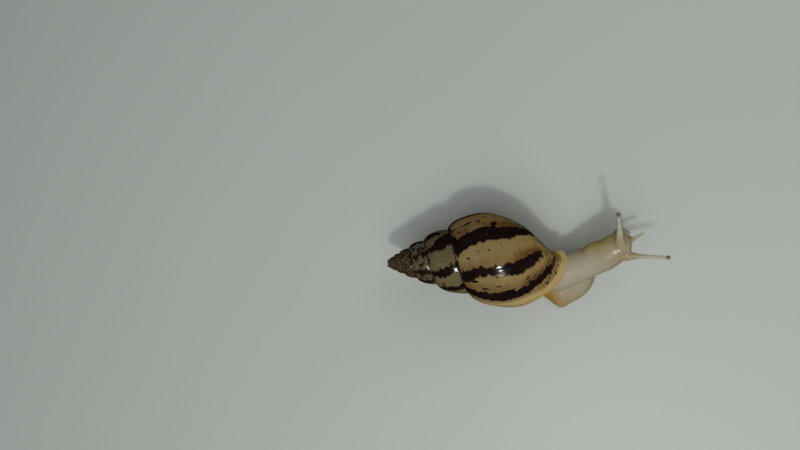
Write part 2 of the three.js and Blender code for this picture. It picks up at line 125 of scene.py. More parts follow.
# Dashes: phi from and to in degrees, then the turn at each and the half width in thousandths of a turn.
DASHES = [
    (-52, -35, -383, -394, 6), (-31, -25, -392, -394, 3), (-19, -16, -403, -404, 5.5),
    (-13, -6, -353, -353, 10.5), (-70, -58, -394, -388, 6), (-60, -52, -362, -360, 3),
    (-54, -45, -171, -170, 5.5), (-24, -21, -176, -175, 4), (-24, -5, -121.5, -116.5, 2.6),
    (-29, -24, -380, -379, 4.5), (3, 11, -119, -117, 2.6), (14, 36, -118, -127, 1.5),
    (-43, -35, -143, -140, 4.5), (-27, -20, -145, -143, 3.5), (41, 46, -62, -62, 6.8),
    (25, 27.5, -61, -59, 12), (53, 69, -91, -124, 3), (-49, -46, -1255, -1205, 10),
    (-55, -47, -258, -250, 2.8), (-25, -22, -262, -262, 2.2), (-37, -35, -268, -267, 2),
    (-38, -31, -2350, -2330, 18), (-48, -44, -1120, -1112, 12),
]
THOUSAND = 1000  # for the turns in FLAMES and DASHES
# Thin streaks beside the lip, slanting across the growth lines.
STREAKS = {"count": 78, "phi": (0, 62), "turn": (-0.175, -0.04), "length": (10, 32), "slant": -0.0019,
           "half": (0.0011, 0.0026)}
# The dark blots along the suture, in millimetres, less far down on the spire.
SUTURE = {"phi": -70, "reach": 3.2, "share": 0.45, "small": 0.5, "spire": 1.2, "deepest": 1.5}
MM_PER_DEGREE = 0.25  # along the shoulder
RADIUS_AT_LIP = 24  # mm, of the path of a point on the outer wall
GIRTH_FALLOFF, GIRTH_LIMIT = 0.62, 60  # how that path shortens towards shoulder and base, degrees
# Noise over the shell: lumps a turn, degrees to a lump, seed.
SHELL_NOISE = {
    "wander": (9, 28, 11), "patches": (14, 40, 12), "blots": (15, 30, 17), "small_blots": (40.5, 12, 18),
}

# ---- sizes of the body

FOOT = [  # left edge x, y, right edge x, y, height
    (-45.9, 7.9, -46.1, 6.1, 1.4), (-35.6, 11.8, -36.4, 2.6, 3.4), (-23, 14.4, -25, -1.4, 5.2),
    (-7.4, 14.1, -12.6, -6.1, 8), (6.5, 9.5, -0.5, -10.5, 10), (13, 8.3, 10.5, -12.4, 10.5),
    (17.8, 8.2, 20.3, -19, 10.2), (21.5, 8.6, 25.6, -16.9, 10), (26.3, 9.5, 33, -12, 9.6),
    (29.8, 10, 36.9, -6.2, 9), (32.5, 10.2, 38, -1, 7.5), (34.4, 9.4, 37.4, 3.6, 5),
]
FOOT_STEPS, FOOT_SIDES = 120, 40
FOOT_DOME = 1.3
FOOT_RIM = 0.9
SOLE_UNDERCUT, SOLE_LEAST = 0.6, 0.5

NECK = [  # x, y, z, half across, half up, roll in degrees
    (-2, -3, 9, 5, 5, 0), (8, -1.5, 10.5, 7.6, 7.4, 0), (18, -0.3, 12.6, 8.7, 8.4, 0),
    (26.2, 2.5, 14.6, 8.1, 8, 4), (34.8, 6, 17.4, 7.4, 7.1, 10), (37.9, 8.1, 18.7, 7.8, 6.9, 14),
    (41.8, 9.8, 20.2, 7.5, 6.7, 18),
    (47.6, 14, 21.9, 6.8, 6.3, 26), (52.6, 16.6, 21.4, 5.6, 5.2, 32),
]
NECK_STEPS = 90
NECK_CROWDING = 1.4
BROW_SHARE, BROW_LEAST = 0.13, 0.08

HEAD_CENTRE = np.array([47.9, 14.3, 21.7])
HEAD_HEADING, HEAD_PITCH, HEAD_ROLL = 27, -5, 33  # degrees
CHEEK = {"at": (3.1, 2.2, -4.0), "half": (3.5, 3.5, 3.5)}
MOUTH_LOBE = {"at": (6, 1.5, -3.6), "half": (1.6, 1.4, 1.8)}

# Eye stalks and feelers: root in the head's frame, middle of the bulb, radii at base, neck and bulb,
# taper and bow.
HORNS = {
    "eye_stalk_left": ((-0.2, 3.5, 4), (46.1, 28.5, 38.5), (2.8, 0.8, 1.12), 2.2, 0.6),
    "eye_stalk_right": ((-0.2, -3.9, 4), (68.2, 9.2, 30), (2.8, 0.74, 1.05), 3.4, 0.6),
    "feeler_left": ((4.2, 3, -2.2), (52.2, 20.6, 12.6), (1.3, 0.6, 0.72), 1.4, 0.2),
    "feeler_right": ((4.4, -1.8, -1.6), (59.1, 19.8, 17), (1.3, 0.6, 0.72), 1.4, 0.2),
}
HORN_STEPS, BULB_STEPS, HORN_SIDES, HORN_LINE = 60, 10, 32, 50
HORN_MARGIN, HORN_FREE = (0.15, 0.9), (0.25, 0.45)  # mm off a horn's surface; shares where it leaves the head
BULB_START = math.radians(-35)
EYE_RADIUS, EYE_LIFT = 0.8, 0.6

TRUNK = {"centre": (5, -1.5, 3), "half": (16.5, 8), "waist": 0.09, "inset": 3.0, "turn": -0.022, "steps": 30}
PLUG = {"from": -0.2, "to": -0.012, "inset": 0.5, "steps": 40}
COLLAR = {"turn": -0.010, "inset": 1.7, "radius": 1.15, "sides": 16, "steps": 160}
BREATHING_PORE = {"phi": -48, "turn": -0.004, "inset": 4.2, "half": 1.3, "depth": 1.1}
FLESH_SIDES = 72
LINE_POINTS = 60  # of the line along the body, and of the line along a horn
LINE_JOIN, TAIL_LINE_HEIGHT = 12, 4.0  # x where the line passes from foot to neck, and its height behind that

GOLD_CENTRE, GOLD_REACH = (12.5, -14.5), 17  # the yellow patch of the foot below the lip

# Where the joins between the bodies are rounded into fillets, and how much.
CREASE = {"at": (24, 0, 9), "reach": 40, "below": (14, 20), "above": (2.5, 6)}
THROAT = {"at": (1.0, 0, -5), "reach": 11}
BROW = {"at": (2, 0, 2), "reach": 9, "strength": 0.8}
FILLET_ROUNDS, QUICK_FILLET_ROUNDS = 320, 30
FIRST_ROUNDS = 14  # of smoothing the whole skin

# Relief of the skin, in millimetres.
TUBERCLES = {"coarse": (1.75, 1.0, 1.0), "fine": (0.95, 0.72, 0.72), "height": 0.085, "fine_share": 0.7}
TUBERCLE_WANDER, WANDER_LUMP = 0.25, 4
STALK_RINGS = {"count": 26, "height": 0.035, "wander": 2, "lump": 1.5}
BACK_LINE = {"from": (3, 6), "half": 0.6, "height": 0.03}
BACK_FURROWS = {"at": 1.1, "half": 0.35, "depth": 0.045}
FRINGE = {"at": 3.1, "wander": 0.5, "lump": 7, "half": 0.45, "depth": 0.22}
FRINGE_FURROWS = {"spacing": 1.5, "height": 0.05, "wander": 1.8, "lump": 3}
FOLDS = {"at": (22, -8, 9), "reach": 11, "height": 0.16, "rate": 1.7, "wander": 1.3, "lump": 5}
MOUTH = {"at": (6.6, 0, -3.6), "half": (3, 0.35, 1.3), "depth": 0.45}
SHADED_SIDE_TOWARDS, SHADED_SIDE_FROM = (-0.25, 0.85, 0.35), (24, 37)  # painted shade, yellow-brown, on the neck's upper side away from the light: facing, and x

SKIN_VOXEL = 0.27

# ---- numbers and noise


def unit(vectors):
    return vectors / np.maximum(np.linalg.norm(vectors, axis=-1, keepdims=True), 1e-12)


def ease(value, low, high):
    """0 at low, 1 at high and a smooth rise between them."""
    t = np.clip((value - low) / (high - low), 0, 1)
    return t * t * (3 - 2 * t)


def bell(distance, half):
    """1 at a line or a place, falling off on both sides."""
    return np.exp(-((distance / half) ** 2))


def through(stations, t):
    """A smooth curve through rows of numbers, at shares t of its length."""
    rows = np.asarray(stations, float)
    last = len(rows) - 1
    place = np.clip(np.asarray(t, float), 0, 1) * last
    i = np.minimum(place.astype(int), last - 1)
    f = (place - i)[:, None]
    before, after = rows[np.maximum(i - 1, 0)], rows[np.minimum(i + 2, last)]
    a, b = rows[i], rows[i + 1]
    return 0.5 * (2 * a + (b - before) * f + (2 * before - 5 * a + 4 * b - after) * f**2
                  + (3 * a - before - 3 * b + after) * f**3)


def lattice(cells, seed):
    """A repeatable number from 0 to 1 for each row of whole numbers."""
    with np.errstate(over="ignore"):
        mixed = cells.astype(np.int64).astype(np.uint64)
        h = (mixed[..., 0] * np.uint64(73856093)) ^ (mixed[..., 1] * np.uint64(19349663))
        h = h ^ (mixed[..., 2] * np.uint64(83492791)) ^ np.uint64(seed * 2654435761)
        h = (h ^ (h >> np.uint64(15))) * np.uint64(2246822519)
        h = (h ^ (h >> np.uint64(13))) * np.uint64(3266489917)
        h = h ^ (h >> np.uint64(16))
    return (h & np.uint64(0xFFFFFF)).astype(float) / 0xFFFFFF


def soft_noise(points, seed):
    """Smooth noise from -1 to 1 with one lump to a unit."""
    low = np.floor(points)
    f = points - low
    f = f * f * (3 - 2 * f)
    total = np.zeros(points.shape[:-1])
    for corner in np.ndindex(2, 2, 2):
        weight = np.prod(np.where(np.array(corner) == 1, f, 1 - f), axis=-1)
        total += weight * lattice(low + np.array(corner), seed)
    return 2 * total - 1


def cell_relief(points, seed):
    """Rounded cells, one to a unit: 1 at a cell's middle, falling to 0 in the furrows between cells."""
    low = np.floor(points)
    nearest = np.full(points.shape[:-1], 9.0)
    second = nearest.copy()
    for step in np.ndindex(3, 3, 3):
        cell = low + np.array(step) - 1
        middle = cell + 0.5 + 0.8 * (np.stack([lattice(cell, seed + k) for k in range(3)], -1) - 0.5)
        distance = np.linalg.norm(points - middle, axis=-1)
        second = np.minimum(second, np.maximum(distance, nearest))
        nearest = np.minimum(nearest, distance)
    return ease(second - nearest, 0, 0.5)


# ---- meshes

BALL_SIDES, BALL_RINGS, BALL_CAP = 48, 30, 0.05  # of an ellipsoid; the cap's angle in radians


def make_mesh(name, points, faces):
    """A mesh object from points in millimetres and arrays of faces, each with one number of corners."""
    mesh = bpy.data.meshes.new(name)
    corners = np.concatenate([f.ravel() for f in faces])
    counts = np.concatenate([np.full(len(f), f.shape[1]) for f in faces])
    mesh.vertices.add(len(points))
    mesh.loops.add(len(corners))
    mesh.polygons.add(len(counts))
    mesh.vertices.foreach_set("co", (np.asarray(points) * METRES).astype(np.float32).ravel())
    mesh.loops.foreach_set("vertex_index", corners.astype(np.int32))
    mesh.polygons.foreach_set("loop_start", (np.cumsum(counts) - counts).astype(np.int32))
    mesh.update(calc_edges=True)
    mesh.validate()
    mesh.shade_smooth()
    made = bpy.data.objects.new(name, mesh)
    bpy.context.scene.collection.objects.link(made)
    return made


def set_attributes(made, **attributes):
    """Numbers or vectors at the points of a mesh."""
    for name, values in attributes.items():
        values = np.asarray(values, np.float32)
        kind, key = ("FLOAT", "value") if values.ndim == 1 else ("FLOAT_VECTOR", "vector")
        made.data.attributes.new(name, kind, "POINT").data.foreach_set(key, values.ravel())


def grid_faces(rows, columns, closed):
    """Quads between rows of points. A closed grid joins its last column to its first."""
    i, j = np.meshgrid(np.arange(rows - 1), np.arange(columns if closed else columns - 1), indexing="ij")
    a, b = i * columns + j, i * columns + (j + 1) % columns
    return np.stack([a, b, b + columns, a + columns], -1).reshape(-1, 4)


def loft(rings):
    """Points and faces of a closed body through rings of points, facing out."""
    rings = np.asarray(rings, float)
    rows, columns = rings.shape[:2]
    points = np.concatenate([rings.reshape(-1, 3), rings[[0, -1]].mean(1)])
    k = np.arange(columns)
    start = np.stack([(k + 1) % columns, k, np.full(columns, rows * columns)], -1)
    last = (rows - 1) * columns
    end = np.stack([last + k, last + (k + 1) % columns, np.full(columns, rows * columns + 1)], -1)
    quads, fans = grid_faces(rows, columns, True), np.concatenate([start, end])
    halves = np.concatenate([quads[:, [0, 1, 2]], quads[:, [0, 2, 3]], fans])
    corner = points[halves]
    volume = np.einsum("ij,ij->i", corner[:, 0], np.cross(corner[:, 1], corner[:, 2])).sum()
    if volume < 0:
        quads, fans = quads[:, ::-1], fans[:, ::-1]
    return points, quads, fans


def ellipsoid(centre, half, turn):
    """Rings of an ellipsoid along the first axis of `turn`, whose rows are its axes."""
    around = np.linspace(0, FULL_TURN, BALL_SIDES, endpoint=False)
    steepest = math.pi / 2 - BALL_CAP
    rings = []
    for angle in np.linspace(-steepest, steepest, BALL_RINGS):
        ahead, wide = math.sin(angle), math.cos(angle)
        local = np.stack([np.full(BALL_SIDES, half[0] * ahead), half[1] * wide * np.cos(around),
                          half[2] * wide * np.sin(around)], -1)
        rings.append(local @ turn + centre)
    return np.array(rings)


def round_rings(centres, across, up, roll, sides):
    """Rings square to a line of centres, with half sizes across and up, turned by roll radians."""
    forward = unit(np.gradient(centres, axis=0))
    left = unit(np.stack([-forward[:, 1], forward[:, 0], np.zeros(len(forward))], -1))
    top = np.cross(forward, left)
    turned = np.cos(roll)[:, None] * left + np.sin(roll)[:, None] * top
    square = np.cross(forward, turned)
    angle = np.linspace(0, FULL_TURN, sides, endpoint=False)
    return (centres[:, None] + (across[:, None] * np.cos(angle))[..., None] * turned[:, None]
            + (up[:, None] * np.sin(angle))[..., None] * square[:, None])


# ---- shell

heading, pitch = math.radians(AXIS_HEADING), math.radians(AXIS_PITCH)
SHELL_AXIS = np.array([math.cos(heading) * math.cos(pitch), math.sin(heading) * math.cos(pitch),
                       math.sin(pitch)])
SHELL_RIGHT = unit(np.cross(SHELL_AXIS, [0, 0, 1]))
SHELL_UP = np.cross(SHELL_RIGHT, SHELL_AXIS)


def shell_point(turn, phi, inset):
    """Points of the shell. turn counts back from 0 at the lip. phi goes round the generating curve in
    degrees, from the shoulder, -90, over the outer wall, 0, to the base, 90, and back along the
    columella, 180."""
    s, c = np.sin(np.radians(phi)), np.cos(np.radians(phi))
    t = turn + (LAG_LINEAR * s + LAG_SQUARE * s * s) / 360
    axial, radial = SHELL_SIZE * GROWTH**t, SHELL_SIZE * GROWTH ** (WIDENING * t)
    reach = 1.0
    for at, amount in SWELLS:
        away = np.minimum(np.abs((phi - at + 180) % 360 - 180) / SWELL_SPREAD, 1)
        reach = reach + amount * np.cos(away * math.pi / 2) ** 2
    shoulder = np.maximum(0, -s)
    pointed = np.sign(c) * np.abs(c) ** (1 + SHOULDER_POINT * shoulder)
    across = (HALF_ACROSS * reach - inset / radial) * pointed * (1 + EGG * s)
    along = (HALF_ALONG * reach - inset / axial) * s
    tuck = sum(amount * shoulder**power for amount, power in SHOULDER_TUCKS)
    radius = CENTRE_RADIUS + across * math.cos(LEAN) - along * math.sin(LEAN) - tuck
    station = CENTRE_ALONG + across * math.sin(LEAN) + along * math.cos(LEAN)
    angle = math.radians(LIP_ANGLE) + t * FULL_TURN
    distance = np.maximum(radius * radial, LEAST_RADIUS + np.maximum(inset, 0))
    return (APEX + (station * axial)[..., None] * SHELL_AXIS
            + (distance * np.cos(angle))[..., None] * SHELL_UP
            + (distance * np.sin(angle))[..., None] * SHELL_RIGHT)


def shell_noise(turn, phi, name, third=0):
    """Smooth noise over the shell, from -1 to 1."""
    lumps, degrees, seed = SHELL_NOISE[name]
    return soft_noise(np.stack([turn * lumps, phi / degrees, np.full_like(phi, third)], -1), seed)


def shell_relief(turn, phi):
    """Height of the growth lines, rests and sculpture, in millimetres."""
    wander = shell_noise(turn, phi, "wander")
    height = np.zeros_like(turn)
    for count, amount in GROWTH_LINES:
        patch = PATCH_LEAST + PATCH_SWING * shell_noise(turn, phi, "patches", count)
        height += amount * patch * np.sin(FULL_TURN * (count * turn + LINE_WANDER * wander))
    for at, depth, width in GROWTH_RESTS:
        height -= depth * bell(turn - at + REST_WANDER * wander, width)
    upper = 1 - ease(phi, *SMOOTH_BASE)
    height += SPIRAL_LINES["height"] * upper * np.cos(FULL_TURN * phi / SPIRAL_LINES["spacing"] + wander)

    row = phi / BEADS["degrees"]
    along = turn * BEADS["turns"] + 0.5 * np.floor(row)
    bead = np.abs(np.sin(math.pi * row)) * np.abs(np.sin(math.pi * along))
    height += BEADS["height"] * ease(-turn, *BEAD_TURNS) * (np.sqrt(bead) - BEADS["sunk"])
    crest = CREST["height"] * bell(phi - CREST["phi"], CREST["half"])
    height += crest * np.sin(FULL_TURN * (CREST["folds"] * turn + wander))
    return height * GROWTH**turn


def mark_depth(turn, phi, mark, blunt, mm_per_turn):
    """How far inside one dash or streak each point is, in millimetres. A streak has pointed ends."""
    start, end, turn_start, turn_end, half = mark
    share = np.clip((phi - start) / (end - start), 0, 1)
    away = np.abs(turn - (turn_start + share * (turn_end - turn_start)))
    beyond = np.maximum(np.maximum(start - phi, phi - end), 0)
    shape = np.sqrt(np.clip(1 - (2 * share - 1) ** 4, 0, 1)) if blunt else np.sin(math.pi * share)
    return (half * shape - away) * mm_per_turn - DASH_FADE * beyond


def dash_depth(turn, phi, mm_per_turn):
    """How far inside any dash or streak each point is, in millimetres."""
    dash = np.full(turn.shape, FAR_FROM_MARKS)
    for start, end, *turns in DASHES:
        mark = (start, end, *(value / THOUSAND for value in turns))
        dash = np.maximum(dash, mark_depth(turn, phi, mark, True, mm_per_turn))
    ranges = (STREAKS["phi"], STREAKS["turn"], STREAKS["length"], STREAKS["half"])
    for k in range(STREAKS["count"]):
        draw = lattice(np.array([[k, j, 7] for j in range(4)]), 3)
        start, turn_start, length, half = [low + (high - low) * d for d, (low, high) in zip(draw, ranges)]
        mark = (start, start + length, turn_start, turn_start + STREAKS["slant"] * length, half)
        dash = np.maximum(dash, mark_depth(turn, phi, mark, False, mm_per_turn))
    return dash


def suture_depth(turn, phi):
    """How far inside the dark blots along the suture each point is, in millimetres."""
    blot = shell_noise(turn, phi, "blots") + SUTURE["small"] * shell_noise(turn, phi, "small_blots")
    seam = SUTURE["reach"] * (SUTURE["share"] + blot) - (phi - SUTURE["phi"]) * MM_PER_DEGREE
    seam = np.where(turn < -1, seam - SUTURE["spire"], seam)
    return np.minimum(seam * GROWTH**turn, SUTURE["deepest"])


def flame_depth(turn, phi):
    """How far inside a flame, inside its brown surround, and inside a dash each point is, in millimetres."""
    tilt = np.radians(np.clip(phi * GIRTH_FALLOFF, -GIRTH_LIMIT, GIRTH_LIMIT))
    mm_per_turn = FULL_TURN * RADIUS_AT_LIP * GROWTH ** (WIDENING * turn) * np.cos(tilt)
    depth, older = (np.full(turn.shape, FAR_FROM_MARKS) for _ in range(2))
    for stations in FLAMES:
        at, middle, half = (np.array(stations) / (1, THOUSAND, THOUSAND)).T
        away = turn - np.interp(phi, at, middle)
        beyond = np.maximum(at[0] - phi, phi - at[-1])
        fade = FLAME_FADE["turns"] * np.maximum(beyond, 0) / FLAME_FADE["degrees"]
        width = np.interp(phi, at, half) - fade
        depth = np.maximum(depth, (width - np.abs(away)) * mm_per_turn)
        older_side = width + np.where(away < 0, away * OLDER_SOFTNESS, -away)
        older = np.maximum(older, older_side * mm_per_turn)
    depth = np.maximum(depth, suture_depth(turn, phi))
    return depth, older, dash_depth(turn, phi, mm_per_turn)


def shell_turns():
    """The turns of the shell's rows from the apex to the lip."""
    ends = [start for start, _ in SHELL_ROWS[1:]] + [0]
    rows = [np.linspace(start, end, round((end - start) * count), endpoint=False)
            for (start, count), end in zip(SHELL_ROWS, ends)]
    return np.append(np.concatenate(rows), 0)


def shell_phis():
    seen = np.linspace(*SEEN_PHI)
    hidden = np.linspace(seen[-1], seen[0] + 360, HIDDEN_POINTS + 2)[1:-1]
    return np.concatenate([seen, hidden])


def outward(points):
    """Unit normals of a grid of points that is closed in its second direction."""
    along = np.gradient(points, axis=0)
    around = np.roll(points, -1, 1) - np.roll(points, 1, 1)
    return unit(np.cross(around, along))


def make_shell():
    phis = shell_phis()
    turns = shell_turns()
    turn, phi = np.meshgrid(turns, phis, indexing="ij")
    signed = np.where(phi > 180, phi - 360, phi)
    outer = shell_point(turn, signed, np.zeros_like(turn))
    facing = outward(outer)
    middle = shell_point(turns, np.zeros_like(turns), np.full_like(turns, 0.5))
    wall = np.abs(phis).argmin()
    if np.einsum("ij,ij->", facing[:, wall], outer[:, wall] - middle) < 0:
        facing = -facing
    first, last, _ = SEEN_PHI
    seen = ease(signed, first, first + SEEN_MARGIN[0])
    seen = seen * (1 - ease(signed, last - SEEN_MARGIN[1], last))
    outer = outer + facing * (shell_relief(turn, signed) * seen)[..., None]

    # The lip rounds over a thin edge, and the hollow goes back inside it.
    bend = np.linspace(0, math.pi, LIP_BEND)[1:-1]
    lip_turns = LIP_BULGE * np.sin(bend)
    lip_insets = LIP_WALL * (1 - np.cos(bend)) / 2
    inner_turns = np.linspace(0, -INNER_DEPTH, INNER_ROWS)
    inner_insets = LIP_WALL + (DEEP_WALL - LIP_WALL) * ease(-inner_turns, 0, DEEP_WALL_FROM)
    back_turn, back_phi = np.meshgrid(np.concatenate([lip_turns, inner_turns]), phis, indexing="ij")
    back_inset = np.broadcast_to(np.concatenate([lip_insets, inner_insets])[:, None], back_turn.shape)
    back_signed = np.where(back_phi > 180, back_phi - 360, back_phi)
    rolled = shell_point(back_turn, back_signed, back_inset)

    rings = np.concatenate([outer, rolled])
    points, quads, fans = loft(rings)
    made = make_mesh("shell_detail", points, [quads, fans])
    all_turn, all_phi = np.concatenate([turn, back_turn]), np.concatenate([signed, back_signed])
    inside = np.concatenate([np.zeros_like(turn), ease(back_inset, LIP_WALL * 0.6, LIP_WALL)])
    depth, older, dash = flame_depth(all_turn, all_phi)

    def ended(values):
        return np.append(values.ravel(), [values[0].mean(), values[-1].mean()])

    grain = np.stack([ended(values) for values in (all_turn, all_phi, inside)], -1) * GRAIN_SCALE
    set_attributes(made, turn=ended(all_turn), phi=ended(all_phi), band=ended(depth), older=ended(older),
                   dash=ended(dash), inside=ended(inside), grain=grain)
    return made


# ---- body


def head_axes():
    turn = Euler((math.radians(HEAD_ROLL), -math.radians(HEAD_PITCH), math.radians(HEAD_HEADING)), "XYZ")
    return np.array(turn.to_matrix()).T


HEAD_AXES = head_axes()  # rows: forward, left and up


def head_point(place, side=1):
    return HEAD_CENTRE + np.array([place[0], side * place[1], place[2]]) @ HEAD_AXES


def foot_rings():
    sizes = through(FOOT, np.linspace(0, 1, FOOT_STEPS))
    left_edge, right_edge = (np.column_stack([sizes[:, k:k + 2], np.zeros(FOOT_STEPS)]) for k in (0, 2))
    centres, left = (left_edge + right_edge) / 2, unit(left_edge - right_edge)
    angle = np.linspace(0, math.pi, FOOT_SIDES)
    half, height = np.linalg.norm(left_edge - right_edge, axis=1) / 2, sizes[:, 4]
    across = half[:, None] * np.cos(angle)
    rise = FOOT_RIM + (height[:, None] - FOOT_RIM) * np.sin(angle) ** FOOT_DOME
    sole_half = np.maximum(half - SOLE_UNDERCUT, half * SOLE_LEAST)
    sole = sole_half[:, None] * np.linspace(-1, 1, FOOT_SIDES)
    back = centres[:, None] + across[..., None] * left[:, None] + rise[..., None] * np.array([0, 0, 1])
    under = centres[:, None] + sole[..., None] * left[:, None]
    return np.concatenate([back, under], 1)


def neck_rings():
    t = 1 - (1 - np.linspace(0, 1, NECK_STEPS)) ** NECK_CROWDING
    rows = through(NECK, t)
    from_front = np.minimum(1, (1 - t) / BROW_SHARE)
    dome = np.maximum(np.sqrt(1 - (1 - from_front) ** 2), BROW_LEAST)
    return round_rings(rows[:, :3], rows[:, 3] * dome, rows[:, 4] * dome, np.radians(rows[:, 5]), FLESH_SIDES)


def horn_path(name):
    """The centre line of a horn as a function of its share."""
    root, tip, _, _, bow = HORNS[name]
    start, end = head_point(root), np.array(tip, float)
    middle = (start + end) / 2 + np.array([0, 0, 2 * bow])

    def at(t):
        t = np.asarray(t, float)[:, None]
        return (1 - t) ** 2 * start + 2 * t * (1 - t) * middle + t**2 * end

    return at


def horn_rings(name):
    _, _, (base, thin, bulb), taper, _ = HORNS[name]
    at = horn_path(name)
    line = at(np.linspace(0, 1, HORN_LINE))
    length = np.linalg.norm(np.diff(line, axis=0), axis=1).sum()
    t = np.linspace(0, 1 + bulb * math.sin(BULB_START) / length, HORN_STEPS)
    radius = thin + (base - thin) * (1 - t) ** taper
    end, ahead = line[-1], unit(line[-1] - line[-2])
    angle = np.linspace(BULB_START, math.pi / 2 - 0.08, BULB_STEPS + 1)[1:]
    centres = np.concatenate([at(t), end + (bulb * np.sin(angle))[:, None] * ahead])
    radius = np.concatenate([radius, bulb * np.cos(angle)])
    return round_rings(centres, radius, radius, np.zeros(len(radius)), HORN_SIDES)


def shell_ring(turn, inset, sides):
    phi = np.linspace(0, -360, sides, endpoint=False)
    phi = np.where(phi < -180, phi + 360, phi)
    return shell_point(np.full(sides, turn), phi, np.full(sides, inset))


def trunk_rings():
    top = shell_ring(TRUNK["turn"], TRUNK["inset"], FLESH_SIDES)
    middle = np.array(TRUNK["centre"], float)
    angle = -np.arange(FLESH_SIDES) / FLESH_SIDES * FULL_TURN - math.pi / 2
    oval = np.stack([TRUNK["half"][0] * np.cos(angle), TRUNK["half"][1] * np.sin(angle), 0 * angle], -1)
    rings = []
    for down in np.linspace(0, 1, TRUNK["steps"]):
        narrow = 1 - TRUNK["waist"] * math.sin(math.pi * down)
        offset = top + (oval + middle - top) * down - middle
        rings.append(offset * np.array([narrow, narrow, 1]) + middle)
    return rings


def plug_rings():
    return [shell_ring(turn, PLUG["inset"], FLESH_SIDES)
            for turn in np.linspace(PLUG["from"], PLUG["to"], PLUG["steps"])]


def collar_line():
    return shell_ring(COLLAR["turn"], COLLAR["inset"], COLLAR["steps"])


def collar_faces():
    """The mantle's thickened edge, a closed tube just inside the lip."""
    line = collar_line()
    forward = unit(np.roll(line, -1, 0) - np.roll(line, 1, 0))
    side = unit(np.cross(forward, unit(line.mean(0) - line)))
    up = np.cross(side, forward)
    angle = np.linspace(0, FULL_TURN, COLLAR["sides"], endpoint=False)
    around = np.cos(angle)[:, None] * side[:, None] + np.sin(angle)[:, None] * up[:, None]
    rings = line[:, None] + COLLAR["radius"] * around
    faces = grid_faces(len(line) + 1, len(angle), True) % (len(line) * len(angle))
    return rings.reshape(-1, 3), faces


def body_mesh():
    """All the flesh as overlapping closed bodies in one mesh, before it is made one skin."""
    rings = [foot_rings(), neck_rings(), trunk_rings(), plug_rings()]
    rings += [horn_rings(name) for name in HORNS]
    for side in (1, -1):
        for shape in (CHEEK, MOUTH_LOBE):
            rings.append(ellipsoid(head_point(shape["at"], side), shape["half"], HEAD_AXES))
    points, quads, fans, count = [], [], [], 0
    for row in rings:
        p, q, f = loft(row)
        points.append(p)
        quads.append(q + count)
        fans.append(f + count)
        count += len(p)
    collar_points, faces = collar_faces()
    points.append(collar_points)
    quads.append(faces + count)
    return make_mesh("skin", np.concatenate(points), [np.concatenate(quads), np.concatenate(fans)])


def apply_modifiers(made):
    """Replaces the object's mesh by what its modifiers make of it."""
    graph = bpy.context.evaluated_depsgraph_get()
    done = bpy.data.meshes.new_from_object(made.evaluated_get(graph))
    made.modifiers.clear()
    old = made.data
    made.data = done
    bpy.data.meshes.remove(old)


def read(layer, key, width, kind=np.float32):
    values = np.empty(len(layer) * width, kind)
    layer.foreach_get(key, values)
    return values.reshape(-1, width)


def points_of(made):
    return read(made.data.vertices, "co", 3).astype(float) / METRES


def normals_of(made):
    return read(made.data.vertices, "normal", 3).astype(float)


def set_points(made, points):
    made.data.vertices.foreach_set("co", (points * METRES).astype(np.float32).ravel())
    made.data.update()


def edges_of(made):
    return read(made.data.edges, "vertices", 2, np.int32)


def relax(points, edges, weight, rounds):
    """Moves each point towards the middle of its neighbours, by its weight, so many times."""
    a, b = np.concatenate([edges, edges[:, ::-1]]).T
    count = np.bincount(a, minlength=len(points))[:, None]
    for _ in range(rounds):
        total = np.stack([np.bincount(a, points[b, k], len(points)) for k in range(3)], -1)
        points = points + weight[:, None] * (total / count - points)
    return points


def nearest_share(points, line):
    """For each point, the distance to a line of points and the index of its nearest one."""
    best, index = np.full(len(points), 1e9), np.zeros(len(points), int)
    for i, p in enumerate(line):
        distance = ((points - p) ** 2).sum(1)
        closer = distance < best
        best[closer] = distance[closer]
        index[closer] = i
    return np.sqrt(best), index


def near(points, centre, reach):
    """1 at a place, falling smoothly to 0 at its reach."""
    return 1 - ease(np.linalg.norm(points - np.asarray(centre, float), axis=1), 0, reach)


def lie_of(points):
    """Where each point of the skin is along the body, to its left, and up from its line."""
    t = np.linspace(0, 1, LINE_POINTS)
    foot = through(FOOT, t)
    tail = np.column_stack([(foot[:, :2] + foot[:, 2:4]) / 2, np.full(LINE_POINTS, TAIL_LINE_HEIGHT)])
    neck = through(NECK, t)[:, :3]
    line = np.concatenate([tail[tail[:, 0] < LINE_JOIN], neck[neck[:, 0] > LINE_JOIN]])
    length = np.append(0, np.cumsum(np.linalg.norm(np.diff(line, axis=0), axis=1)))
    _, index = nearest_share(points, line)
    forward = unit(np.gradient(line, axis=0))[index]
    left = unit(np.stack([-forward[:, 1], forward[:, 0], np.zeros(len(points))], -1))
    offset = points - line[index]
    axes = (forward, left, np.cross(forward, left))
    along, aside, up = (np.einsum("ij,ij->i", offset, axis) for axis in axes)
    return length[index] + along, aside, up


def horn_nearness(points, name):
    """The share along a horn and how surely a point is on it, from 0 to 1."""
    _, _, (base, thin, _), taper, _ = HORNS[name]
    line = horn_path(name)(np.linspace(0, 1, LINE_POINTS))
    distance, index = nearest_share(points, line)
    share = index / (LINE_POINTS - 1)
    radius = thin + (base - thin) * (1 - share) ** taper
    return share, 1 - ease(distance - radius, *HORN_MARGIN)


def horn_shares(points):
    """How surely each point is on a horn and on an eye stalk, and its share along it."""
    on_horn, on_stalk, horn_share = (np.zeros(len(points)) for _ in range(3))
    for name in HORNS:
        share, nearness = horn_nearness(points, name)
        free = nearness * ease(share, *HORN_FREE)
        on_horn = np.maximum(on_horn, free)
        horn_share = np.where(nearness > 0.5, share, horn_share)
        if name.startswith("eye"):
            on_stalk = np.maximum(on_stalk, free)
    return on_horn, on_stalk, horn_share


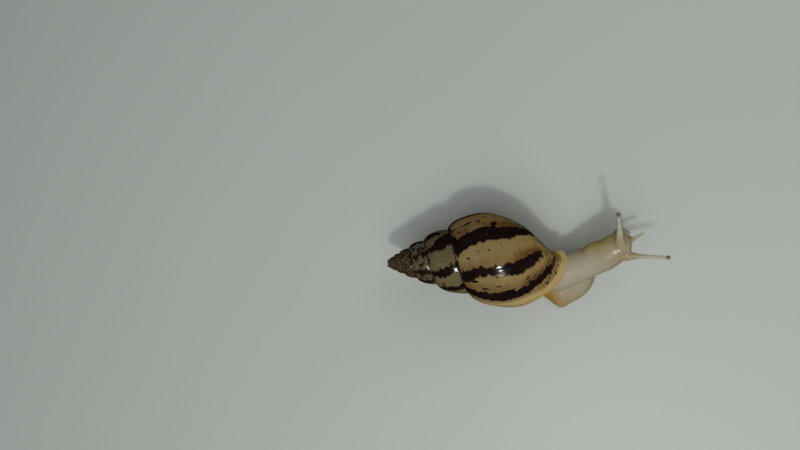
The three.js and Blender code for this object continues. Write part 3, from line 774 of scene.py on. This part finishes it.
def add_fillets(made, on_horn):
    """Smooths the skin a little, rounds the hollows between the bodies outwards, and returns the points."""
    points, edges = points_of(made), edges_of(made)
    grounded = 1 - ease(points[:, 2], 0.25, 0.7)
    points = relax(points, edges, 0.5 * (1 - 0.75 * on_horn) * (1 - grounded), FIRST_ROUNDS)
    height = points[:, 2]
    crease = near(points, CREASE["at"], CREASE["reach"]) * (1 - ease(height, *CREASE["below"]))
    crease = crease * ease(height, *CREASE["above"])
    throat = near(points, head_point(THROAT["at"]), THROAT["reach"])
    brow = near(points, head_point(BROW["at"]), BROW["reach"]) * (1 - on_horn)
    most = np.maximum(np.maximum(crease, throat), BROW["strength"] * brow)
    weight = 0.5 * np.clip(most, 0, 1) * (1 - on_horn)
    set_points(made, points)
    rounded = relax(points, edges, weight, FILLET_ROUNDS)
    outwards = np.einsum("ij,ij->i", rounded - points, normals_of(made))
    points = points + ease(outwards, -0.05, 0.1)[:, None] * (rounded - points)
    set_points(made, points)
    return points


def tubercle_relief(points, place, on_head):
    """Long rounded cells that lie along the body, smaller on the head."""
    wander = soft_noise(points / WANDER_LUMP, 21)[:, None] * np.full(3, TUBERCLE_WANDER)
    coarse = cell_relief(place / TUBERCLES["coarse"] + wander, 31)
    fine = cell_relief(place / TUBERCLES["fine"] + wander, 41)
    share = TUBERCLES["fine_share"] * on_head
    return coarse * (1 - share) + fine * share


def back_relief(left, back):
    """A ridge down the middle of the back with a furrow on either side."""
    height = np.zeros(len(back))
    for side in (-1, 1):
        furrow = bell(left - side * BACK_FURROWS["at"], BACK_FURROWS["half"])
        height -= BACK_FURROWS["depth"] * back * furrow
    return height + BACK_LINE["height"] * back * bell(left, BACK_LINE["half"])


def fringe_relief(points, normal, along):
    """The foot's fringe: a groove along it, and short upright furrows below the groove."""
    line = FRINGE["at"] + FRINGE["wander"] * soft_noise(points / FRINGE["lump"], 9)
    outside = ease(np.abs(normal[:, 2]) * -1, -0.92, -0.5)
    sole_rim = 1 - ease(points[:, 2], 1.8, 4.2)
    groove = FRINGE["depth"] * bell(points[:, 2] - line, FRINGE["half"]) * outside
    wander = FRINGE_FURROWS["wander"] * soft_noise(points / FRINGE_FURROWS["lump"], 8)
    upright = np.sin(FULL_TURN * along / FRINGE_FURROWS["spacing"] + wander)
    risen = ease(points[:, 2], 0.5, 1.2)
    return FRINGE_FURROWS["height"] * sole_rim * outside * upright * risen - groove


def fold_relief(points, along, on_collar):
    """Slack folds where the raised neck leaves the foot."""
    folds = near(points, FOLDS["at"], FOLDS["reach"]) * (1 - on_collar)
    on_foot = 1 - ease(points[:, 2], 5, 9)
    wander = FOLDS["wander"] * soft_noise(points / FOLDS["lump"], 7)
    return FOLDS["height"] * folds * np.sin(along * FOLDS["rate"] + wander) * on_foot


def openings(points):
    """How far inside the mouth's slit and inside the breathing pore each point is, from 0 to 1."""
    ahead, left, up = ((points - head_point(MOUTH["at"])) @ HEAD_AXES.T).T
    slit = bell(left, MOUTH["half"][1]) * bell(up, MOUTH["half"][2]) * bell(ahead, MOUTH["half"][0])
    turn, phi, inset = (np.array([BREATHING_PORE[key]]) for key in ("turn", "phi", "inset"))
    from_pore = np.linalg.norm(points - shell_point(turn, phi, inset), axis=1)
    return slit, bell(from_pore, BREATHING_PORE["half"])


def make_skin():
    made = body_mesh()
    remesh = made.modifiers.new("one_skin", "REMESH")
    remesh.mode = "VOXEL"
    remesh.voxel_size = SKIN_VOXEL * METRES
    apply_modifiers(made)
    made.data.shade_smooth()

    on_horn, on_stalk, horn_share = horn_shares(points_of(made))
    points = add_fillets(made, on_horn)
    normal = normals_of(made)
    along, left, up = lie_of(points)
    collar_gap, _ = nearest_share(points, collar_line())
    on_collar = 1 - ease(collar_gap, COLLAR["radius"] + 0.4, COLLAR["radius"] + 2)
    on_head = near(points, HEAD_CENTRE, 20)
    back = ease(up, *BACK_LINE["from"]) * (1 - on_horn) * (1 - on_collar)
    quiet = (1 - on_horn) * (1 - 0.85 * on_collar)

    tubercle = tubercle_relief(points, np.stack([along, left, up], -1), on_head)
    height = TUBERCLES["height"] * (tubercle - 0.5) * quiet
    ring_wander = STALK_RINGS["wander"] * soft_noise(points / STALK_RINGS["lump"], 5)
    rings = np.sin(FULL_TURN * horn_share * STALK_RINGS["count"] + ring_wander)
    height += STALK_RINGS["height"] * on_stalk * rings
    height += back_relief(left, back) + fringe_relief(points, normal, along)
    height += fold_relief(points, along, on_collar)
    slit, pore = openings(points)
    height -= MOUTH["depth"] * slit + BREATHING_PORE["depth"] * pore
    height *= ease(points[:, 2], 0.3, 0.9)
    set_points(made, points + normal * height[:, None])

    # Painted shade: the neck's upper side, facing away from the light, is tinted yellow-brown.
    upper = ease(normal @ unit(np.array(SHADED_SIDE_TOWARDS)), 0.45, 0.95)
    upper = upper * ease(normal[:, 2], -0.25, 0.15) * ease(points[:, 0], *SHADED_SIDE_FROM)
    gold = near(points[:, :2], GOLD_CENTRE, GOLD_REACH) * (1 - ease(points[:, 2], 7, 16))
    # opening carries painted shade into the mouth's slit and the breathing pore.
    set_attributes(made, relief=tubercle * quiet, collar=on_collar, gold=gold,
                   rim=1 - ease(points[:, 2], 0.5, 12.0), head=on_head, horn=on_horn,
                   tip=on_stalk * ease(horn_share, 0.9, 1.0), shade=upper,
                   opening=np.clip(slit + pore, 0, 1))
    return made


def make_eye(name):
    """A dull olive bead with a paler middle, set in the bulb of its stalk."""
    at = horn_path(name)(np.array([1.0]))[0] + np.array([0, 0, EYE_LIFT])
    rings = ellipsoid(at, (EYE_RADIUS,) * 3, np.eye(3)[[2, 0, 1]])
    points, quads, fans = loft(rings)
    made = make_mesh(name.replace("eye_stalk", "eye") + "_bead", points, [quads, fans])
    ahead = unit(points - at)[:, 2]
    set_attributes(made, pale=ease(ahead, 0.72, 0.95))
    return made


# ---- materials

# Noise of the shell: how finely along the turns and across them, detail and roughness.
GRAINS = {
    "broad": (0.16, 0.05, 3, 0.5), "lines": (1.5, 0.09, 5, 0.6), "hair": (5.0, 0.22, 3, 0.5),
    "teeth": (0.55, 1.5, 3, 0.65), "waves": (0.16, 0.42, 2, 0.5), "rust": (0.05, 0.09, 2, 0.5),
    "specks": (0.62, 0.40, 2, 0.4), "speck_areas": (0.09, 0.12, 1, 0.5), "blotches": (0.13, 0.17, 3, 0.5),
    "pits": (1.2, 1.6, 2, 0.5), "sparkle": (0.9, 0.7, 2, 0.5),
}
NET = (0.22, 0.24)  # the same for the netted pattern of the oldest whorls
GRAIN_INSIDE = 0.2  # and how finely across the lip's edge
SHELL_COLOURS = {
    "young": ((0.215, 0.153, 0.056), (0.305, 0.235, 0.098)),
    "spire": ((0.075, 0.063, 0.031), (0.118, 0.102, 0.058)),
    "pale_line": (0.31, 0.245, 0.115), "hair_line": (0.13, 0.072, 0.026),
    "amber": (0.37, 0.215, 0.065), "old_side": (0.31, 0.17, 0.06),
    "lip": ((0.57, 0.42, 0.165), (0.55, 0.395, 0.15)),
    "flame": ((0.005, 0.003, 0.003), (0.020, 0.010, 0.008)), "halo": (0.14, 0.065, 0.018),
    "speck": (0.040, 0.018, 0.010), "blotch": (0.012, 0.007, 0.005),
    "net": ((0.022, 0.011, 0.006), (0.13, 0.085, 0.042)), "apex": (0.12, 0.076, 0.042),
    "inside": ((0.60, 0.58, 0.55), (0.24, 0.19, 0.19)),
}
SKIN_COLOURS = {
    "flesh": ((0.41, 0.36, 0.265), (0.475, 0.43, 0.335)),
    "furrow": ((0.395, 0.345, 0.25), (0.455, 0.41, 0.315)), "fleck": (0.56, 0.52, 0.41),
}
# What is painted over the flesh, in this order: the attribute, how strongly, and the colour.
SKIN_LAYERS = [
    # shade is painted shade, yellow-brown, on the neck's upper side.
    ("shade", 0.9, (0.47, 0.36, 0.085)), ("head", 1.0, (0.335, 0.255, 0.125)),
    ("rim", 0.75, (0.41, 0.32, 0.155)), ("gold", 0.95, (0.38, 0.215, 0.015)),
    ("collar", 0.85, (0.60, 0.42, 0.12)), ("horn", 0.85, (0.47, 0.485, 0.36)),
    # opening is painted shade inside the mouth's slit and the breathing pore.
    ("tip", 0.7, (0.26, 0.27, 0.19)), ("opening", 0.7, (0.20, 0.10, 0.06)),
]
HEAD_BLOTCHES = (0.42, 0.60, (0.6, 0.95))  # two levels of the noise, and the head's brown at each
FLESH_DEPTH, FLESH_SPREAD = 2.5, (1.0, 0.62, 0.35)  # mm that light goes into the flesh; its red, green, blue


class Paint:
    """A material's node tree with short ways to add to it."""

    def __init__(self, name):
        self.material = bpy.data.materials.new(name)
        self.material.use_nodes = True
        self.tree = self.material.node_tree
        self.shader = next(n for n in self.tree.nodes if n.type == "BSDF_PRINCIPLED")

    def add(self, kind, inputs=None, **settings):
        node = self.tree.nodes.new("ShaderNode" + kind)
        for key, value in settings.items():
            setattr(node, key, value)
        for key, value in (inputs or {}).items():
            self.put(node.inputs[key], value)
        return node

    def put(self, socket, value):
        if isinstance(value, bpy.types.NodeSocket):
            self.tree.links.new(value, socket)
        else:
            socket.default_value = value

    def attribute(self, name, output="Fac"):
        return self.add("Attribute", attribute_name=name).outputs[output]

    def math(self, operation, a, b=0.0, clamp=False):
        return self.add("Math", {0: a, 1: b}, operation=operation, use_clamp=clamp).outputs[0]

    def step(self, value, low, high, to=(0.0, 1.0)):
        inputs = {"Value": value, "From Min": low, "From Max": high, "To Min": to[0], "To Max": to[1]}
        return self.add("MapRange", inputs, interpolation_type="SMOOTHSTEP").outputs[0]

    def mix(self, factor, a, b):
        made = self.add("Mix", data_type="RGBA")
        for index, value in ((0, factor), (6, a), (7, b)):
            self.put(made.inputs[index], colour(value) if isinstance(value, tuple) else value)
        return made.outputs[2]

    def over(self, below, shade, *amounts):
        """Lays a colour over another one, as strongly as the product of the amounts."""
        factor = amounts[0]
        for amount in amounts[1:]:
            factor = self.math("MULTIPLY", factor, amount)
        return self.mix(factor, below, shade)

    def noise(self, vector, scale, detail=3.0, roughness=0.5):
        inputs = {"Vector": vector, "Scale": scale, "Detail": detail, "Roughness": roughness}
        return self.add("TexNoise", inputs).outputs["Fac"]

    def grain(self, along, across):
        """The shell's own grain, stretched."""
        inputs = {"Vector": self.attribute("grain", "Vector"), "Scale": (along, across, GRAIN_INSIDE)}
        return self.add("Mapping", inputs).outputs[0]

    def bump(self, height, strength, distance, normal=None):
        inputs = {"Height": height, "Strength": strength, "Distance": distance * METRES}
        if normal is not None:
            inputs["Normal"] = normal
        return self.add("Bump", inputs).outputs[0]

    def finish(self, **sockets):
        for name, value in sockets.items():
            self.put(self.shader.inputs[name.replace("_", " ").title().replace("Ior", "IOR")], value)
        return self.material


def colour(shade):
    return (*shade, 1.0)


def shell_ground(p, turn, phi, noise):
    """The colours between the flames: from the spire to the golden lip."""
    shades = SHELL_COLOURS
    young, spire = (p.mix(noise["broad"], *shades[name]) for name in ("young", "spire"))
    ground = p.mix(p.step(turn, -1.5, -0.55), spire, young)
    ground = p.over(ground, shades["pale_line"], p.step(noise["lines"], 0.52, 0.72, (0.0, 0.55)))
    streaked = p.step(turn, -0.22, -0.12, (0.35, 0.8))
    ground = p.over(ground, shades["hair_line"], p.step(noise["hair"], 0.56, 0.75), streaked)
    amber = p.step(turn, -0.34, -0.24), p.step(noise["broad"], 0.30, 0.62, (0.35, 1.0)), p.step(phi, -25, 40)
    ground = p.over(ground, shades["amber"], *amber, 0.6)
    old_side = p.step(turn, -0.42, -0.33, (0.55, 0.0))
    ground = p.over(ground, shades["old_side"], old_side, p.step(turn, -1.0, -0.85))
    towards_lip = p.math("ADD", turn, p.step(phi, 25, 75, (0.0, 0.035)))
    towards_lip = p.math("ADD", towards_lip, p.step(phi, -10, 25, (0.022, 0.0)))
    lip = p.mix(p.step(phi, 15, 65), *shades["lip"])
    return p.over(ground, lip, p.step(towards_lip, -0.055, -0.03, (0.0, 0.92)))


def shell_flames(p, turn, phi, noise, ground):
    """Lays the flames with ragged edges over the ground, brown towards their older side."""
    shades = SHELL_COLOURS
    waves = p.step(noise["waves"], 0.25, 0.75, (-0.85, 0.85))
    ragged = p.math("ADD", p.step(noise["teeth"], 0.2, 0.8, (-0.36, 0.36)), waves)
    edge = p.math("ADD", p.attribute("band"), ragged)
    halo = p.step(p.math("ADD", p.attribute("older"), p.math("MULTIPLY", ragged, 0.45)), -1.1, 1.0)
    rust_area = p.step(noise["rust"], 0.35, 0.62, (0.35, 0.9))
    rust = p.math("ADD", rust_area, p.step(phi, -15, 20, (0.0, 0.4)), clamp=True)
    body = p.over(ground, shades["halo"], halo, rust, p.step(turn, -1.1, -0.9, (0.15, 1.0)))
    marks = p.math("ADD", p.attribute("dash"), p.math("MULTIPLY", ragged, 0.22))
    flame = p.math("MAXIMUM", p.step(edge, -0.14, 0.28), p.step(marks, -0.1, 0.2))
    dark = p.mix(p.step(noise["lines"], 0.35, 0.7), *shades["flame"])
    return p.mix(flame, body, dark), flame


def shell_spire(p, turn, noise, body):
    """Specks, the blotches of the spire, and the oldest whorls, netted with pale worn patches."""
    shades = SHELL_COLOURS
    specks = p.step(noise["specks"], 0.70, 0.73)
    body = p.over(body, shades["speck"], specks, p.step(noise["speck_areas"], 0.45, 0.6))
    blotches = p.step(noise["blotches"], 0.56, 0.61)
    body = p.over(body, shades["blotch"], blotches, p.step(turn, -2.1, -1.85, (0.95, 0.0)))
    net = p.add("TexVoronoi", {"Vector": p.grain(*NET), "Scale": 1.0}, feature="DISTANCE_TO_EDGE")
    patches = p.mix(p.step(net.outputs["Distance"], 0.06, 0.22), *shades["net"])
    age = p.math("ADD", turn, p.math("MULTIPLY", noise["broad"], 0.8))
    body = p.over(body, patches, p.step(age, -2.65, -2.35, (1.0, 0.0)))
    return p.over(body, shades["apex"], p.step(age, -6.4, -5.4, (0.6, 0.0)))


def shell_paint():
    p = Paint("shell")
    turn, phi = p.attribute("turn"), p.attribute("phi")
    noise = {}
    for name, (along, across, detail, roughness) in GRAINS.items():
        noise[name] = p.noise(p.grain(along, across), 1.0, detail, roughness)
    ground = shell_ground(p, turn, phi, noise)
    body, flame = shell_flames(p, turn, phi, noise, ground)
    body = shell_spire(p, turn, noise, body)

    # Inside the lip the wall is smooth and milky, with the flames showing faintly through.
    milky = p.mix(p.math("MULTIPLY", flame, 0.25), *SHELL_COLOURS["inside"])
    body = p.over(body, milky, p.attribute("inside"))

    worn = p.step(turn, -3.0, -1.2, (0.20, 0.0))
    rough = p.math("ADD", p.step(noise["hair"], 0.3, 0.75, (0.15, 0.28)), worn)
    normal = p.bump(noise["lines"], 0.2, 0.10)
    normal = p.bump(noise["hair"], 0.30, 0.05, normal)
    normal = p.bump(noise["pits"], 0.25, 0.08, normal)
    return p.finish(base_color=body, roughness=rough, normal=normal, coat_weight=0.6, coat_roughness=0.09,
                    coat_normal=p.bump(noise["sparkle"], 0.5, 0.09), specular_ior_level=0.22)


def skin_paint():
    p = Paint("skin")
    place = p.add("TexCoord").outputs["Object"]
    blotch = p.noise(place, 180, 3.0)
    fine = p.noise(place, 900, 4.0, 0.6)
    furrow, flesh = (p.mix(blotch, *SKIN_COLOURS[name]) for name in ("furrow", "flesh"))
    body = p.mix(p.step(p.attribute("relief"), 0.0, 0.55), furrow, flesh)
    body = p.over(body, SKIN_COLOURS["fleck"], p.step(fine, 0.5, 0.8), 0.2)
    for name, strength, shade in SKIN_LAYERS:
        if name == "head":
            strength = p.step(blotch, *HEAD_BLOTCHES)
        body = p.over(body, shade, p.attribute(name), strength)
    p.shader.inputs["Subsurface Radius"].default_value = FLESH_SPREAD
    return p.finish(base_color=body, roughness=p.step(fine, 0.3, 0.7, (0.24, 0.42)),
                    normal=p.bump(fine, 0.35, 0.10), subsurface_weight=0.55,
                    subsurface_scale=FLESH_DEPTH * METRES, coat_weight=0.35, coat_roughness=0.18)


def eye_paint():
    p = Paint("eye")
    place = p.add("TexCoord").outputs["Object"]
    body = p.mix(p.noise(place, 2500, 2.0), (0.065, 0.073, 0.038), (0.11, 0.12, 0.07))
    body = p.over(body, (0.27, 0.29, 0.20), p.attribute("pale"), 0.7)
    return p.finish(base_color=body, roughness=0.18, coat_weight=0.8, coat_roughness=0.04)


def floor_paint():
    p = Paint("floor")
    place = p.add("TexCoord").outputs["Object"]
    tone = p.mix(p.noise(place, 6.0, 2.0), (0.50, 0.53, 0.50), (0.53, 0.56, 0.53))
    return p.finish(base_color=tone, roughness=0.55)


# ---- the model

shell = make_shell()
shell.data.materials.append(shell_paint())
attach(shell, "root")
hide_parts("shell")

skin = make_skin()
skin.data.materials.append(skin_paint())
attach(skin, "root")
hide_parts("mantle_collar", "tail", "foot_middle", "foot_front", "trunk", "neck", "head",
            "eye_stalk_left", "eye_stalk_right", "feeler_left", "feeler_right", "mouth_lobe_left",
            "mouth_lobe_right")

for side in ("left", "right"):
    eye = make_eye("eye_stalk_" + side)
    eye.data.materials.append(eye_paint())
    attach(eye, "root")
    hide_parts("eye_" + side)

# ---- floor, light and camera

FLOOR_HALF, LIGHT_DISTANCE = 3.0, 0.9  # metres
LIGHTS = {  # towards, size in metres and energy
    "lamp": ((0.16, -0.42, 0.90), 0.09, 1.9),
    "soft": ((0.05, -0.40, 0.90), 0.9, 3.1),
    "fill": ((0.40, 0.60, 0.60), 0.7, 1.3),
}
SKY, SKY_COLOUR = 0.18, (0.96, 0.98, 0.95)
# The camera's place in millimetres, and its lens and sensor, also in millimetres.
CAMERA_AT, CAMERA_LENS, CAMERA_SENSOR = (20.96, 23.95, 325.03), 27.0, 36.0
CAMERA_TURN = math.radians(15)  # about the photograph's upright axis

floor = make_mesh("floor", np.array([(-1, -1, 0), (1, -1, 0), (1, 1, 0), (-1, 1, 0)]) * FLOOR_HALF / METRES,
                  [np.array([[0, 1, 2, 3]])])
floor.data.materials.append(floor_paint())
floor.visible_glossy = False

scene = bpy.context.scene
for name, (towards, size, energy) in LIGHTS.items():
    light = bpy.data.objects.new(name, bpy.data.lights.new(name, "AREA"))
    light.data.shape = "DISK"
    light.data.size = size
    light.data.energy = energy
    light.location = Vector(towards).normalized() * LIGHT_DISTANCE
    light.rotation_euler = light.location.to_track_quat("Z", "Y").to_euler()
    light.visible_glossy = name == "lamp"
    scene.collection.objects.link(light)

sky = bpy.data.worlds.new("sky")
sky.use_nodes = True
background = sky.node_tree.nodes["Background"]
background.inputs["Color"].default_value = colour(SKY_COLOUR)
background.inputs["Strength"].default_value = SKY
sky.cycles_visibility.glossy = False
scene.world = sky
scene.view_settings.view_transform = "Standard"

camera = bpy.data.objects.new("camera", bpy.data.cameras.new("camera"))
camera.data.lens = CAMERA_LENS
camera.data.sensor_width = CAMERA_SENSOR
camera.data.clip_start = 0.01
camera.location = np.array(CAMERA_AT) * METRES
camera.rotation_euler = (0, CAMERA_TURN, 0)
scene.collection.objects.link(camera)
scene.camera = camera
